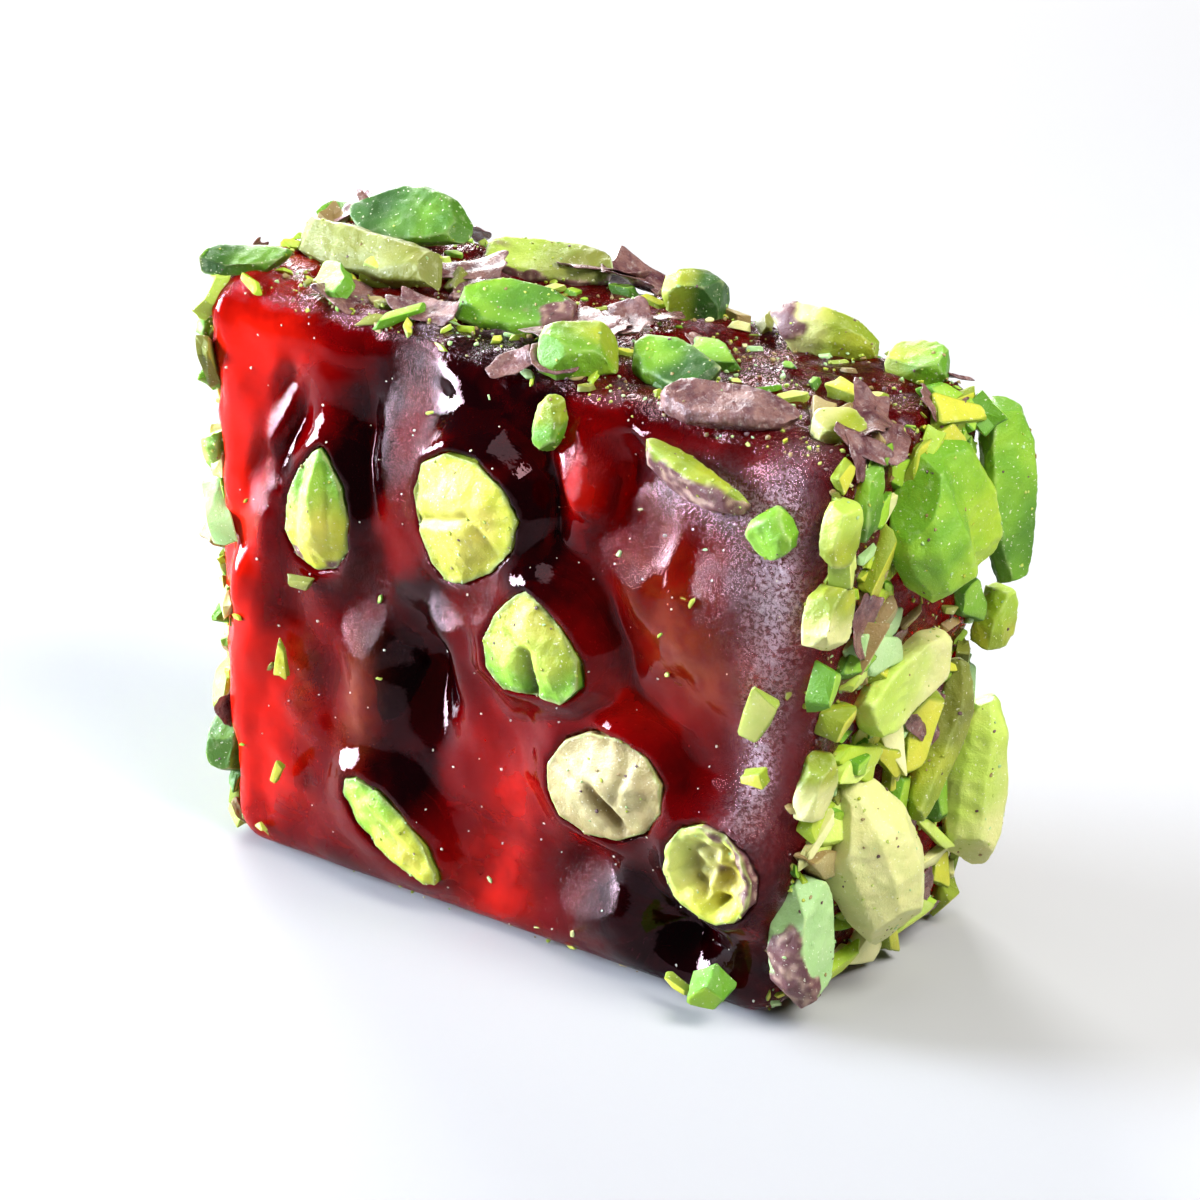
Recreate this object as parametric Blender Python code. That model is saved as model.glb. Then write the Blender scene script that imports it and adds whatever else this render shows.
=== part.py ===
"""One slice of pomegranate Turkish delight, cut from a bar that was rolled in chopped pistachio.

The slice stands on its long coated side. +Z is up, the bare cut face that shows the kernels looks
along -Y, and the origin is the middle of the base. Lengths are given in millimetres and scaled by MM.
"""

import math
import random
from collections import namedtuple

import bmesh
import bpy
from mathutils import Euler, Matrix, Vector, noise

MM = 0.001

# The jelly: a slab that is a little wider at the top and a little thicker at the base.
HEIGHT = 36.0
TOP_WIDTH, BASE_WIDTH = 46.5, 40.5
TOP_DEPTH, BASE_DEPTH = 16.0, 20.5
TOP_SHIFT = -0.6
EDGE_ROUND = 2.4
JELLY_STEPS = (14, 5, 11)
GRID_CROWDING = 0.25
UNEVEN = 0.55
UNEVEN_LENGTH = 9.0
FOOT = 4.0
FACE_EDGE = 0.3

# Kernels: the clearance of their pockets, and the rings of a cut one from its section inwards.
GAP = 0.3
STUB_SIDES = 12
STUB_RINGS = (0.0, 0.45, 0.82)
STUB_BELLY = 0.2
TIP_FULLNESS = 0.23
NOTCH_SHARPNESS = 12
POCKET_REACH = 5.0
CLEFT_DEPTH, CLEFT_WIDTH = 0.45, 0.14
SHORTEST_EDGE = 0.2
SHARP_ANGLE = math.radians(35)

# Mounds (positive) and hollows (negative) of a cut face: place, spread, height and turn in degrees.
Swell = namedtuple("Swell", "x z spread_x spread_z height turn", defaults=(0.0,))
FRONT_SWELLS = (
    Swell(-17.7, 19.0, 1.7, 9.0, 1.2, -10),
    Swell(-13.5, 24.0, 2.6, 4.5, 0.5),
    Swell(-1.6, 26.4, 5.9, 5.6, 2.4),
    Swell(4.0, 19.8, 4.4, 4.6, 2.3),
    Swell(5.2, 31.2, 1.7, 4.2, 1.4, 16),
    Swell(14.2, 25.2, 5.0, 5.2, 2.8),
    Swell(8.8, 12.8, 4.8, 4.2, 1.3),
    Swell(16.6, 9.7, 3.8, 3.8, 1.6),
    Swell(-8.8, 13.8, 2.2, 3.4, 1.5, -8),
    Swell(-2.7, 17.4, 1.8, 2.6, 1.2),
    Swell(-7.2, 4.6, 3.0, 4.6, 0.9, 50),
    Swell(10.2, 3.6, 1.7, 3.6, 1.3, -6),
    Swell(-5.6, 16.0, 2.0, 3.2, -2.4),
    Swell(-10.8, 28.6, 1.3, 5.2, -1.1),
    Swell(-15.6, 27.5, 1.2, 4.0, -0.9),
    Swell(-9.8, 21.2, 2.0, 2.2, -0.9),
    Swell(3.4, 28.6, 1.4, 3.4, -1.4),
    Swell(9.0, 20.6, 2.2, 4.0, -0.9),
    Swell(13.6, 4.4, 2.2, 4.0, -1.8, 10),
)
BACK_SWELLS = (
    Swell(-14.0, 9.0, 4.4, 4.4, 1.4),
    Swell(-6.0, 24.5, 4.8, 4.4, 1.6),
    Swell(5.5, 12.5, 4.6, 4.6, 1.3),
    Swell(13.5, 25.5, 4.4, 4.8, 1.7),
    Swell(14.5, 6.5, 3.6, 3.6, 1.0),
    Swell(-16.5, 27.0, 3.4, 4.6, 0.9),
    Swell(-4.0, 12.0, 3.4, 4.2, -1.5),
    Swell(4.5, 25.0, 2.8, 4.6, -1.6),
    Swell(-13.5, 18.0, 4.0, 2.6, -1.2),
)

# A kernel that the knife cut through: its section on the cut face, and how far it goes in.
# The tip and notch shape the section's two ends, and turn tips it over clockwise from upright.
Stub = namedtuple("Stub", "x z width height turn tip notch depth proud")
FRONT_STUBS = (
    Stub(-13.4, 24.1, 5.3, 8.3, 2, 0.80, 0.00, 5.5, 0.6),
    Stub(-1.5, 27.1, 8.0, 8.6, 194, 0.60, 0.00, 6.5, 0.5),
    Stub(4.0, 20.7, 7.4, 7.6, -4, 0.75, 0.20, 6.0, 0.5),
    Stub(8.9, 12.9, 9.0, 7.0, -18, 0.10, 0.00, 6.5, 0.4),
    Stub(16.7, 9.7, 6.6, 6.6, 20, 0.05, 0.08, 5.5, 0.4),
    Stub(-6.9, 5.0, 3.4, 8.8, 126, 0.30, 0.00, 5.0, 0.3),
)
BACK_STUBS = (
    Stub(-14.0, 9.0, 7.4, 8.0, 30, 0.50, 0.00, 5.5, 0.4),
    Stub(-6.0, 24.4, 7.8, 7.2, -60, 0.60, 0.12, 5.5, 0.5),
    Stub(5.6, 13.0, 6.6, 8.6, 12, 0.40, 0.00, 5.5, 0.4),
    Stub(13.6, 25.4, 7.0, 7.6, 160, 0.70, 0.16, 5.0, 0.5),
    Stub(-16.6, 27.2, 4.6, 7.0, 10, 0.50, 0.00, 4.5, 0.3),
)

# How a kernel is chopped: how much larger it was than the piece along each axis, how much thinner it
# is at its far end, the cuts, each an axis and an end, how far they may skew, and how deep a cleft
# runs along it.
Kind = namedtuple("Kind", "stretch cuts skew taper sides rings cleft", defaults=(0.0,))
KINDS = {
    "half": Kind((1.02, 1.02, 1.9), ((2, -1),), 0.06, 0.22, 9, 6),
    "cleft": Kind((1.02, 1.02, 1.9), ((2, -1),), 0.04, 0.22, 12, 6, CLEFT_DEPTH),
    "leaf": Kind((1.06, 1.10, 2.6), ((2, -1), (2, 1)), 0.08, 0.16, 8, 6),
    "long": Kind((1.15, 1.30, 1.7), ((2, -1), (2, 1), (0, 1), (0, -1)), 0.16, 0.10, 7, 5),
    "slab": Kind((1.30, 1.30, 2.2), ((2, -1), (2, 1), (0, 1), (0, -1), (1, 1)), 0.16, 0.12, 7, 5),
    "lump": Kind(
        (1.45, 1.45, 1.45), ((2, -1), (2, 1), (0, 1), (0, -1), (1, 1), (1, -1)), 0.22, 0.0, 7, 5
    ),
}

# A chopped piece of kernel pressed into a side of the slice: its place on the side, its size, the turn
# of its long axis on the side, how far its far end and its left edge stand away, and how high it sits.
Chop = namedtuple("Chop", "kind u v length width thick turn lean roll lift bend", defaults=(0, 0, 0.6, 0))
TOP_CHOPS = (
    Chop("long", -16.0, -1.4, 13.2, 2.8, 1.6, -4, 2, 34, 1.0, 0.5),
    Chop("leaf", -16.2, 3.1, 8.2, 4.6, 1.5, 8, 0, 32, 1.9),
    Chop("leaf", -22.0, -5.6, 6.0, 2.4, 1.1, 35, 0, 15, 0.6),
    Chop("leaf", -4.3, -2.0, 8.3, 3.8, 1.3, 20, 0, 28, 0.9),
    Chop("long", -7.3, 5.7, 8.8, 3.2, 1.1, 15, 0, 20, 0.6),
    Chop("lump", 2.2, -5.0, 4.4, 3.2, 2.6, 30, 0, 20, 0.8),
    Chop("slab", 8.0, -3.2, 5.8, 2.9, 1.6, -10, 0, 30, 0.7),
    Chop("lump", 3.4, 5.4, 3.2, 3.2, 2.8, 15, 0, 0, 1.2),
    Chop("half", 12.4, 5.6, 7.6, 2.8, 2.2, 10, 0, 14, 0.8),
    Chop("slab", 18.8, 6.0, 3.8, 2.6, 1.9, 10, 0, 10, 0.6),
    Chop("leaf", 13.8, -6.0, 8.2, 3.3, 1.5, 16, 0, 16, 0.6),
    Chop("slab", 19.9, -4.2, 3.0, 2.5, 1.3, 60, 0, 20, 0.5),
)
RIGHT_CHOPS = (
    Chop("cleft", 1.7, 30.0, 11.4, 9.0, 3.4, 104, -6, 12, 1.0),
    Chop("slab", -8.0, 32.2, 4.0, 2.0, 1.5, 76, 0, 0, 0.4),
    Chop("leaf", 8.5, 28.9, 12.6, 3.3, 1.8, -99, 11, 24, 1.5),
    Chop("leaf", -5.2, 33.0, 4.8, 1.9, 1.3, 76, 0, 0, 0.4),
    Chop("slab", 8.8, 20.6, 3.8, 2.2, 1.8, 80, 0, 0, 1.3),
    Chop("slab", 0.0, 19.6, 8.2, 3.7, 2.2, 16, 0, -12, 0.7),
    Chop("slab", -8.2, 26.7, 3.9, 3.0, 1.9, 62, 0, 0, 0.4),
    Chop("long", 5.2, 13.8, 10.0, 2.0, 2.2, 66, 0, 0, 0.8, 1.2),
    Chop("half", 8.7, 9.6, 12.0, 3.4, 2.6, 80, 0, 10, 1.0),
    Chop("slab", -8.0, 15.6, 4.0, 2.0, 1.6, 82, 0, 0, 0.4),
    Chop("half", -2.8, 8.6, 12.2, 6.0, 3.6, -76, 12, 0, 1.5),
    Chop("leaf", -8.3, 5.4, 8.2, 3.8, 2.6, -94, 4, 0, 0.8),
)
LEFT_CHOPS = (
    Chop("half", -2.6, 29.0, 10.0, 5.6, 2.6, 70, 0, 0, 0.1),
    Chop("leaf", 4.6, 31.6, 6.2, 3.6, 1.6, 12, 0, 0, 0.3),
    Chop("leaf", 4.8, 23.4, 8.6, 4.8, 2.0, 40, 0, 0, 0.3),
    Chop("long", -6.2, 18.6, 9.4, 3.0, 1.8, 86, 0, 0, 0.1, 0.8),
    Chop("half", 0.6, 12.4, 9.8, 5.4, 2.8, -32, 0, 0, 0.1),
    Chop("slab", -6.8, 6.0, 6.0, 4.0, 1.8, 50, 0, 0, 0.1),
    Chop("lump", 7.2, 5.6, 5.0, 4.0, 2.6, 20, 0, 0, 0.2),
)
BASE_CHOPS = (
    Chop("half", -13.4, 2.4, 9.2, 5.4, 2.2, 20, 0, 0, -0.6),
    Chop("slab", -5.0, -4.6, 6.8, 4.2, 2.0, -30, 0, 0, -0.6),
    Chop("half", 7.0, 3.4, 8.6, 5.0, 2.2, 65, 0, 0, -0.6),
    Chop("long", 13.6, -4.0, 7.8, 3.2, 1.8, 10, 0, 0, -0.5),
)
FRONT_CHOPS = (
    Chop("long", 13.6, 33.0, 7.6, 2.1, 1.5, -12, 0, 24, 0.6, 0.6),
    Chop("long", 3.2, 34.0, 3.6, 1.8, 1.4, 76, 0, 0, 0.4),
    Chop("lump", 19.1, 31.2, 2.8, 2.6, 2.0, 40, 0, 0, 0.5),
)


def between(low, high, share):
    return low + (high - low) * share


def half_width(z):
    return between(BASE_WIDTH, TOP_WIDTH, z / HEIGHT) / 2


def half_depth(z):
    return between(BASE_DEPTH, TOP_DEPTH, z / HEIGHT) / 2


def middle(z):
    """How far the slab leans sideways at this height."""
    return TOP_SHIFT * z / HEIGHT


def swell(swells, x, z):
    """How far a cut face stands out at a place."""
    total = 0.0
    for s in swells:
        turn = math.radians(s.turn)
        across = (x - s.x) * math.cos(turn) + (z - s.z) * math.sin(turn)
        along = (z - s.z) * math.cos(turn) - (x - s.x) * math.sin(turn)
        total += s.height * math.exp(-((across / s.spread_x) ** 2) - (along / s.spread_z) ** 2)
    return total


def jelly_point(u, v, w):
    """Where a point of the cube from -1 to 1 lies on the jelly's surface."""
    z = HEIGHT * (w + 1) / 2
    half = Vector((half_width(z), half_depth(z), HEIGHT / 2))
    point = Vector((u * half.x, v * half.y, w * half.z))
    core = Vector(
        max(-h + EDGE_ROUND, min(h - EDGE_ROUND, p)) for p, h in zip(point, half)
    )
    outward = (point - core).normalized()
    point = core + outward * EDGE_ROUND
    place = point + Vector((middle(z), 0, HEIGHT / 2))
    # The flat base stays flat, and the face's mounds die away on the rounded edges.
    off_base = min(1.0, place.z / FOOT) if w > -1 else 0.0
    rough = noise.noise(place / UNEVEN_LENGTH) + 0.5 * noise.noise(place / (UNEVEN_LENGTH / 3))
    place += outward * rough * UNEVEN * off_base
    on_face = max(0.0, abs(outward.y) - FACE_EDGE) / (1 - FACE_EDGE)
    if outward.y < 0:
        place.y -= swell(FRONT_SWELLS, place.x, place.z) * on_face * off_base
    else:
        place.y += swell(BACK_SWELLS, -place.x, place.z) * on_face * off_base
    return place


def jelly_mesh():
    """A cube of evenly divided faces, laid onto the jelly's surface."""
    bm = bmesh.new()
    found = {}

    def corner(*steps):
        if steps not in found:
            spots = [2 * s / n - 1 for s, n in zip(steps, JELLY_STEPS)]
            # The divisions stand closer together towards the rounded edges.
            spots = [spot * (1 + GRID_CROWDING * (1 - spot * spot)) for spot in spots]
            found[steps] = bm.verts.new(jelly_point(*spots))
        return found[steps]

    for axis in range(3):
        first, second = (axis + 1) % 3, (axis + 2) % 3
        for end in (0, JELLY_STEPS[axis]):
            for i in range(JELLY_STEPS[first]):
                for j in range(JELLY_STEPS[second]):
                    ring = []
                    for a, b in ((i, j), (i + 1, j), (i + 1, j + 1), (i, j + 1)):
                        steps = [0, 0, 0]
                        steps[axis], steps[first], steps[second] = end, a, b
                        ring.append(corner(*steps))
                    bm.faces.new(ring if end else ring[::-1])
    return bm


def section_point(stub, angle, grow):
    """A point of a stub's section, before its turn: the tip is at angle 0 and the notch opposite it."""
    narrow = 1 - stub.tip + stub.tip * math.sin(angle / 2)
    fullness = 1 - TIP_FULLNESS * stub.tip
    notch = stub.notch * max(0.0, -math.cos(angle)) ** NOTCH_SHARPNESS
    across = (stub.width / 2 + grow) * math.sin(angle) * narrow / fullness
    return across, (stub.height / 2 + grow) * math.cos(angle) * (1 - notch)


def stub_mesh(stub, facing, grow=0.0, reach=0.0):
    """A cut kernel: a flat section at the cut face and a rounded body behind it.

    facing is -1 for the front face and 1 for the back. grow makes it larger all round, and reach
    carries the section on outwards, as a cutter needs.
    """
    bm = bmesh.new()
    swells = FRONT_SWELLS if facing < 0 else BACK_SWELLS
    out = half_depth(stub.z) + swell(swells, stub.x, stub.z) + stub.proud
    turn = math.radians(stub.turn)
    depth = stub.depth + grow

    def place(across, along, inward):
        x = across * math.cos(turn) + along * math.sin(turn)
        z = along * math.cos(turn) - across * math.sin(turn)
        return Vector((-facing * (stub.x + x), facing * (out - inward), stub.z + z))

    rings = []
    shares = ([None] if reach else []) + list(STUB_RINGS)
    for share in shares:
        inward = -reach if share is None else share * depth
        size = 1.0 if share is None else math.sqrt(1 - share**2) * (1 + STUB_BELLY * share)
        ring = []
        for k in range(STUB_SIDES):
            across, along = section_point(stub, 2 * math.pi * k / STUB_SIDES, grow)
            ring.append(bm.verts.new(place(across * size, along * size, inward)))
        rings.append(ring)
    far = bm.verts.new(place(0, 0, depth))
    bm.faces.new(rings[0])
    for near, deep in zip(rings, rings[1:]):
        for k in range(STUB_SIDES):
            n = (k + 1) % STUB_SIDES
            bm.faces.new((near[n], near[k], deep[k], deep[n]))
    for k in range(STUB_SIDES):
        bm.faces.new((rings[-1][(k + 1) % STUB_SIDES], rings[-1][k], far))
    bmesh.ops.recalc_face_normals(bm, faces=bm.faces)
    return bm


def slice_off(bm, direction, distance):
    """Cuts away what lies past a plane, and closes the cut."""
    normal = Vector(direction).normalized()
    everything = bm.verts[:] + bm.edges[:] + bm.faces[:]
    made = bmesh.ops.bisect_plane(
        bm,
        geom=everything,
        plane_co=normal * distance,
        plane_no=normal,
        clear_outer=True,
    )
    edges = [e for e in made["geom_cut"] if isinstance(e, bmesh.types.BMEdge)]
    if edges:
        bmesh.ops.holes_fill(bm, edges=edges, sides=0)


def chop_mesh(chop, luck, grow=0.0):
    """A piece chopped from a kernel. Its length is along X, and +Z is the side that shows.

    grow makes it larger by that much at every side, for the pocket it is pressed into.
    """
    kind = KINDS[chop.kind]
    bm = bmesh.new()
    bmesh.ops.create_uvsphere(bm, u_segments=kind.sides, v_segments=kind.rings, radius=1.0)
    bmesh.ops.rotate(bm, cent=(0, 0, 0), matrix=Matrix.Rotation(math.pi / 2, 3, "Y"), verts=bm.verts)
    length, width, thick = chop.length, chop.width, chop.thick
    for vert in bm.verts:
        narrow = 1 - kind.taper * vert.co.x
        vert.co.x *= kind.stretch[0] * length / 2
        vert.co.y *= kind.stretch[1] * width / 2 * narrow
        vert.co.z *= kind.stretch[2] * thick / 2 * narrow
    limits = (length / 2, width / 2, thick / 2)
    for axis, end in kind.cuts:
        direction = [luck.uniform(-kind.skew, kind.skew) for _ in range(3)]
        direction[axis] = end
        slice_off(bm, direction, limits[axis])
    for vert in bm.verts:
        vert.co.y += chop.bend * (2 * vert.co.x / length) ** 2
        if vert.co.z > 0:
            vert.co.z *= 1 - kind.cleft * math.exp(-((vert.co.y / (CLEFT_WIDTH * width)) ** 2))
    bmesh.ops.remove_doubles(bm, verts=bm.verts, dist=SHORTEST_EDGE)
    bmesh.ops.recalc_face_normals(bm, faces=bm.faces)
    if grow:
        ends = [[pick(vert.co[axis] for vert in bm.verts) for pick in (min, max)] for axis in range(3)]
        middles = Vector((low + high) / 2 for low, high in ends)
        larger = [(high - low + 2 * grow) / (high - low) for low, high in ends]
        for vert in bm.verts:
            vert.co = middles + Vector(d * k for d, k in zip(vert.co - middles, larger))
    return bm


def side_frame(side, u, v):
    """The point of a side at (u, v), with the side's own across, up and outward directions."""
    if side == "top":
        return Vector((u, v, HEIGHT)), Vector((1, 0, 0)), Vector((0, 1, 0))
    if side == "base":
        return Vector((u, -v, 0)), Vector((1, 0, 0)), Vector((0, -1, 0))
    if side == "front":
        out = half_depth(v) + swell(FRONT_SWELLS, u, v)
        return Vector((u, -out, v)), Vector((1, 0, 0)), Vector((0, 0, 1))
    if side == "right":
        return Vector((middle(v) + half_width(v), u, v)), Vector((0, 1, 0)), Vector((0, 0, 1))
    return Vector((middle(v) - half_width(v), -u, v)), Vector((0, -1, 0)), Vector((0, 0, 1))


def chop_placing(side, chop):
    """The matrix that lays a piece on its side of the slice."""
    point, across, up = side_frame(side, chop.u, chop.v)
    out = across.cross(up)
    base = Matrix((across, up, out)).transposed().to_4x4()
    roll, lean, turn = (math.radians(a) for a in (chop.roll, -chop.lean, chop.turn))
    own = Euler((roll, lean, turn), "XYZ").to_matrix().to_4x4()
    return Matrix.Translation(point + out * chop.lift) @ base @ own


def material(name, colour, roughness):
    made = bpy.data.materials.new(name)
    made.use_nodes = True
    shader = made.node_tree.nodes["Principled BSDF"]
    shader.inputs["Base Color"].default_value = (*colour, 1)
    shader.inputs["Roughness"].default_value = roughness
    shader.inputs["Metallic"].default_value = 0.0
    made.diffuse_color = (*colour, 1)
    return made


def add_object(name, bm, look, helper=False):
    """Makes an object of a mesh in millimetres, at its place in metres."""
    bmesh.ops.triangulate(bm, faces=bm.faces)
    bmesh.ops.scale(bm, vec=(MM, MM, MM), verts=bm.verts)
    mesh = bpy.data.meshes.new(name)
    bm.to_mesh(mesh)
    bm.free()
    mesh.shade_smooth()
    mesh.set_sharp_from_angle(angle=SHARP_ANGLE)
    obj = bpy.data.objects.new(name, mesh)
    bpy.context.scene.collection.objects.link(obj)
    if look:
        mesh.materials.append(look)
    if helper:
        obj.hide_render = True
        obj.display_type = "WIRE"
    return obj


def cut_by(obj, cutter):
    """Takes the cutter's shape out of the object."""
    cut = obj.modifiers.new(f"clear_{cutter.name}", "BOOLEAN")
    cut.operation = "DIFFERENCE"
    cut.solver = "EXACT"
    cut.object = cutter


def add_stubs(jelly, prefix, stubs, facing, look):
    """The cut kernels of one face, each in a pocket of the jelly."""
    for number, stub in enumerate(stubs, 1):
        name = f"{prefix}_kernel_{number}"
        add_object(name, stub_mesh(stub, facing), look)
        pocket = stub_mesh(stub, facing, grow=GAP, reach=POCKET_REACH)
        cut_by(jelly, add_object(f"{name}_pocket", pocket, None, helper=True))


def add_chops(jelly, side, chops, look):
    """The chopped pieces of one side, each pressed into a pocket of the jelly."""
    for number, chop in enumerate(chops, 1):
        name = f"{side}_nut_{number}"
        bm = chop_mesh(chop, random.Random(name))
        bm.transform(chop_placing(side, chop))
        if min(vert.co.z for vert in bm.verts) < 0:
            slice_off(bm, (0, 0, -1), 0)
            bmesh.ops.recalc_face_normals(bm, faces=bm.faces)
        add_object(name, bm, look)
        pocket = chop_mesh(chop, random.Random(name), grow=GAP)
        pocket.transform(chop_placing(side, chop))
        cut_by(jelly, add_object(f"{name}_pocket", pocket, None, helper=True))


def main():
    for obj in list(bpy.data.objects):
        bpy.data.objects.remove(obj)
    red = material("pomegranate_jelly", (0.42, 0.01, 0.01), 0.15)
    pale = material("pistachio_cut", (0.62, 0.60, 0.12), 0.5)
    green = material("pistachio_chopped", (0.30, 0.45, 0.08), 0.55)
    jelly = add_object("jelly", jelly_mesh(), red)
    add_stubs(jelly, "front", FRONT_STUBS, -1, pale)
    add_stubs(jelly, "back", BACK_STUBS, 1, pale)
    for side, chops in (
        ("top", TOP_CHOPS),
        ("right", RIGHT_CHOPS),
        ("left", LEFT_CHOPS),
        ("base", BASE_CHOPS),
        ("front", FRONT_CHOPS),
    ):
        add_chops(jelly, side, chops, green)


main()
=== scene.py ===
"""The looks of one slice of pomegranate Turkish delight with pistachio.

Lengths are given in millimetres and scaled by MM. +Z is up, the cut face that is the front looks
along -Y, and the chopped nuts cover the top, the two sides and the base.
"""

import itertools
import math
import random
from collections import namedtuple

import bmesh
import bpy
import numpy as np
from mathutils import Euler, Matrix, Vector, noise
from mathutils.bvhtree import BVHTree
from mathutils.kdtree import KDTree


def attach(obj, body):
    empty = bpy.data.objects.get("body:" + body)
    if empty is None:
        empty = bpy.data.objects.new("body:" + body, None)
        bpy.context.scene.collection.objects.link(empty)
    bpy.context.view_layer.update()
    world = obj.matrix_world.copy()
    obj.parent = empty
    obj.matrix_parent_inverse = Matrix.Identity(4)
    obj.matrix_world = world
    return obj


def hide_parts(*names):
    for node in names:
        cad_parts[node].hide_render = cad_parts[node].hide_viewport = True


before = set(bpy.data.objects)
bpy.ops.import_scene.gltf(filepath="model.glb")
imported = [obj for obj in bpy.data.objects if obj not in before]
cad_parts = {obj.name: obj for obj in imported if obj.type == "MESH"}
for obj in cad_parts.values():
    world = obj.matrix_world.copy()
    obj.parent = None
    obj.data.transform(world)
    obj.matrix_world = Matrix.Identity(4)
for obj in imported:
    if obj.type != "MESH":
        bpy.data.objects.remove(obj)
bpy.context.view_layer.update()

MM = 0.001
ROOT = "root"

# The jelly's driving sizes, the same as in the part's source.
HEIGHT = 36.0
TOP_WIDTH, BASE_WIDTH = 46.5, 40.5
TOP_DEPTH, BASE_DEPTH = 16.0, 20.5
TOP_SHIFT = -0.6
EDGE_ROUND = 2.4
UNEVEN = 0.55
UNEVEN_LENGTH = 9.0
JELLY_STEP = 0.32

# The camera: where it looks from, in degrees, its distance, and the width it takes in.
AZIMUTH, ELEVATION, ROLL = 35.5, 25.0, 1.0
DISTANCE = 420.0
VIEW_WIDTH = 72.0
LOOK_AT = (0.5, 0.0, 18.5)
SENSOR = 36.0

Swell = namedtuple("Swell", "x z spread_x spread_z height turn", defaults=(0.0,))
FRONT_SWELLS = (
    Swell(-17.7, 19.0, 1.7, 9.0, 1.2, -10),
    Swell(-13.5, 24.0, 2.6, 4.5, 0.5),
    Swell(-1.6, 26.4, 5.9, 5.6, 2.4),
    Swell(4.0, 19.8, 4.4, 4.6, 2.3),
    Swell(5.2, 31.2, 1.7, 4.2, 1.4, 16),
    Swell(14.2, 25.2, 5.0, 5.2, 2.8),
    Swell(8.8, 12.8, 4.8, 4.2, 1.3),
    Swell(16.6, 9.7, 3.8, 3.8, 1.6),
    Swell(-8.8, 13.8, 2.2, 3.4, 1.5, -8),
    Swell(-2.7, 17.4, 1.8, 2.6, 1.2),
    Swell(-7.2, 4.6, 3.0, 4.6, 0.9, 50),
    Swell(10.2, 3.6, 1.7, 3.6, 1.3, -6),
    Swell(-5.6, 16.0, 2.0, 3.2, -2.4),
    Swell(-10.8, 28.6, 1.3, 5.2, -1.1),
    Swell(-15.6, 27.5, 1.2, 4.0, -0.9),
    Swell(-9.8, 21.2, 2.0, 2.2, -0.9),
    Swell(3.4, 28.6, 1.4, 3.4, -1.4),
    Swell(9.0, 20.6, 2.2, 4.0, -0.9),
    Swell(13.6, 4.4, 2.2, 4.0, -1.8, 10),
)
BACK_SWELLS = (
    Swell(-14.0, 9.0, 4.4, 4.4, 1.4),
    Swell(-6.0, 24.5, 4.8, 4.4, 1.6),
    Swell(5.5, 12.5, 4.6, 4.6, 1.3),
    Swell(13.5, 25.5, 4.4, 4.8, 1.7),
    Swell(14.5, 6.5, 3.6, 3.6, 1.0),
    Swell(-16.5, 27.0, 3.4, 4.6, 0.9),
    Swell(-4.0, 12.0, 3.4, 4.2, -1.5),
    Swell(4.5, 25.0, 2.8, 4.6, -1.6),
    Swell(-13.5, 18.0, 4.0, 2.6, -1.2),
)

NUT_VOXEL, KERNEL_VOXEL = 0.17, 0.15
SHARP_ANGLE = math.radians(32)
# A painted highlight: the colour that lightens the convex edges of the chopped pieces.
EDGE_HIGHLIGHT_TINT = (0.66, 0.74, 0.36)
# Painted shade: the colour that darkens the creases and craters of the cut kernels.
CREASE_SHADE = (0.45, 0.34, 0.16)
RIM_TINT = (0.30, 0.34, 0.10)
SEAT_REACH = 1.3
SEAT_DEPTH = 0.25
SEAT_FLOOR = 2.2

# Where a cut face is drawn out flat, and tilts left and up: centre, half width, half height, its two
# slopes and its turn in degrees.
Facet = namedtuple("Facet", "x z reach_x reach_z slope_x slope_z turn", defaults=(0,))
FRONT_FACETS = (
    Facet(-7.2, 30.6, 2.9, 5.2, 0.30, -0.44, 8),
    Facet(-18.8, 22.0, 1.0, 5.4, 0.34, -0.36, -6),
    Facet(-17.1, 29.2, 0.9, 2.8, 0.34, -0.44, -14),
    Facet(-3.8, 20.4, 1.9, 1.9, 0.34, -0.42),
    Facet(1.2, 24.6, 1.1, 2.0, 0.36, -0.46, -40),
    Facet(9.2, 29.0, 2.0, 4.6, 0.32, -0.42, 22),
    Facet(5.3, 31.6, 1.0, 2.8, 0.30, -0.44, 30),
    Facet(7.6, 5.6, 2.2, 3.4, 0.36, -0.42, -10),
    Facet(-10.4, 17.0, 1.7, 2.6, 0.34, -0.46),
)

# Painted light and shade in the jelly's colour: where it is painted bright red as if lit through, and where it is
# painted near black as if in shade; the rest is in between.
PAINTED_GLOW_LEVEL = 0.27
PAINTED_GLOW_PATCHES = (
    Swell(-21.0, 18.0, 3.4, 20.0, 0.85),
    Swell(-16.5, 33.0, 5.5, 3.6, 0.42),
    Swell(-16.5, 9.0, 4.2, 9.0, 0.5),
    Swell(0.6, 10.5, 4.6, 6.5, 0.45),
    Swell(-1.0, 2.5, 5.5, 3.6, 0.42),
    Swell(5.4, 31.8, 1.8, 3.4, 0.6, 20),
    Swell(10.0, 18.6, 5.0, 2.8, 0.4),
    Swell(-7.4, 23.4, 2.0, 2.4, 0.3),
    Swell(-10.4, 29.6, 2.2, 6.0, -0.5),
    Swell(-0.5, 34.8, 5.0, 3.4, -0.6),
    Swell(3.3, 27.6, 1.8, 3.2, -0.5),
    Swell(-5.6, 16.6, 3.0, 4.2, -0.8),
    Swell(-6.4, 9.2, 2.2, 3.2, -0.5),
    Swell(13.6, 4.0, 4.8, 4.6, -0.7),
    Swell(-16.4, 26.4, 1.1, 3.6, -0.3),
)

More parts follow.
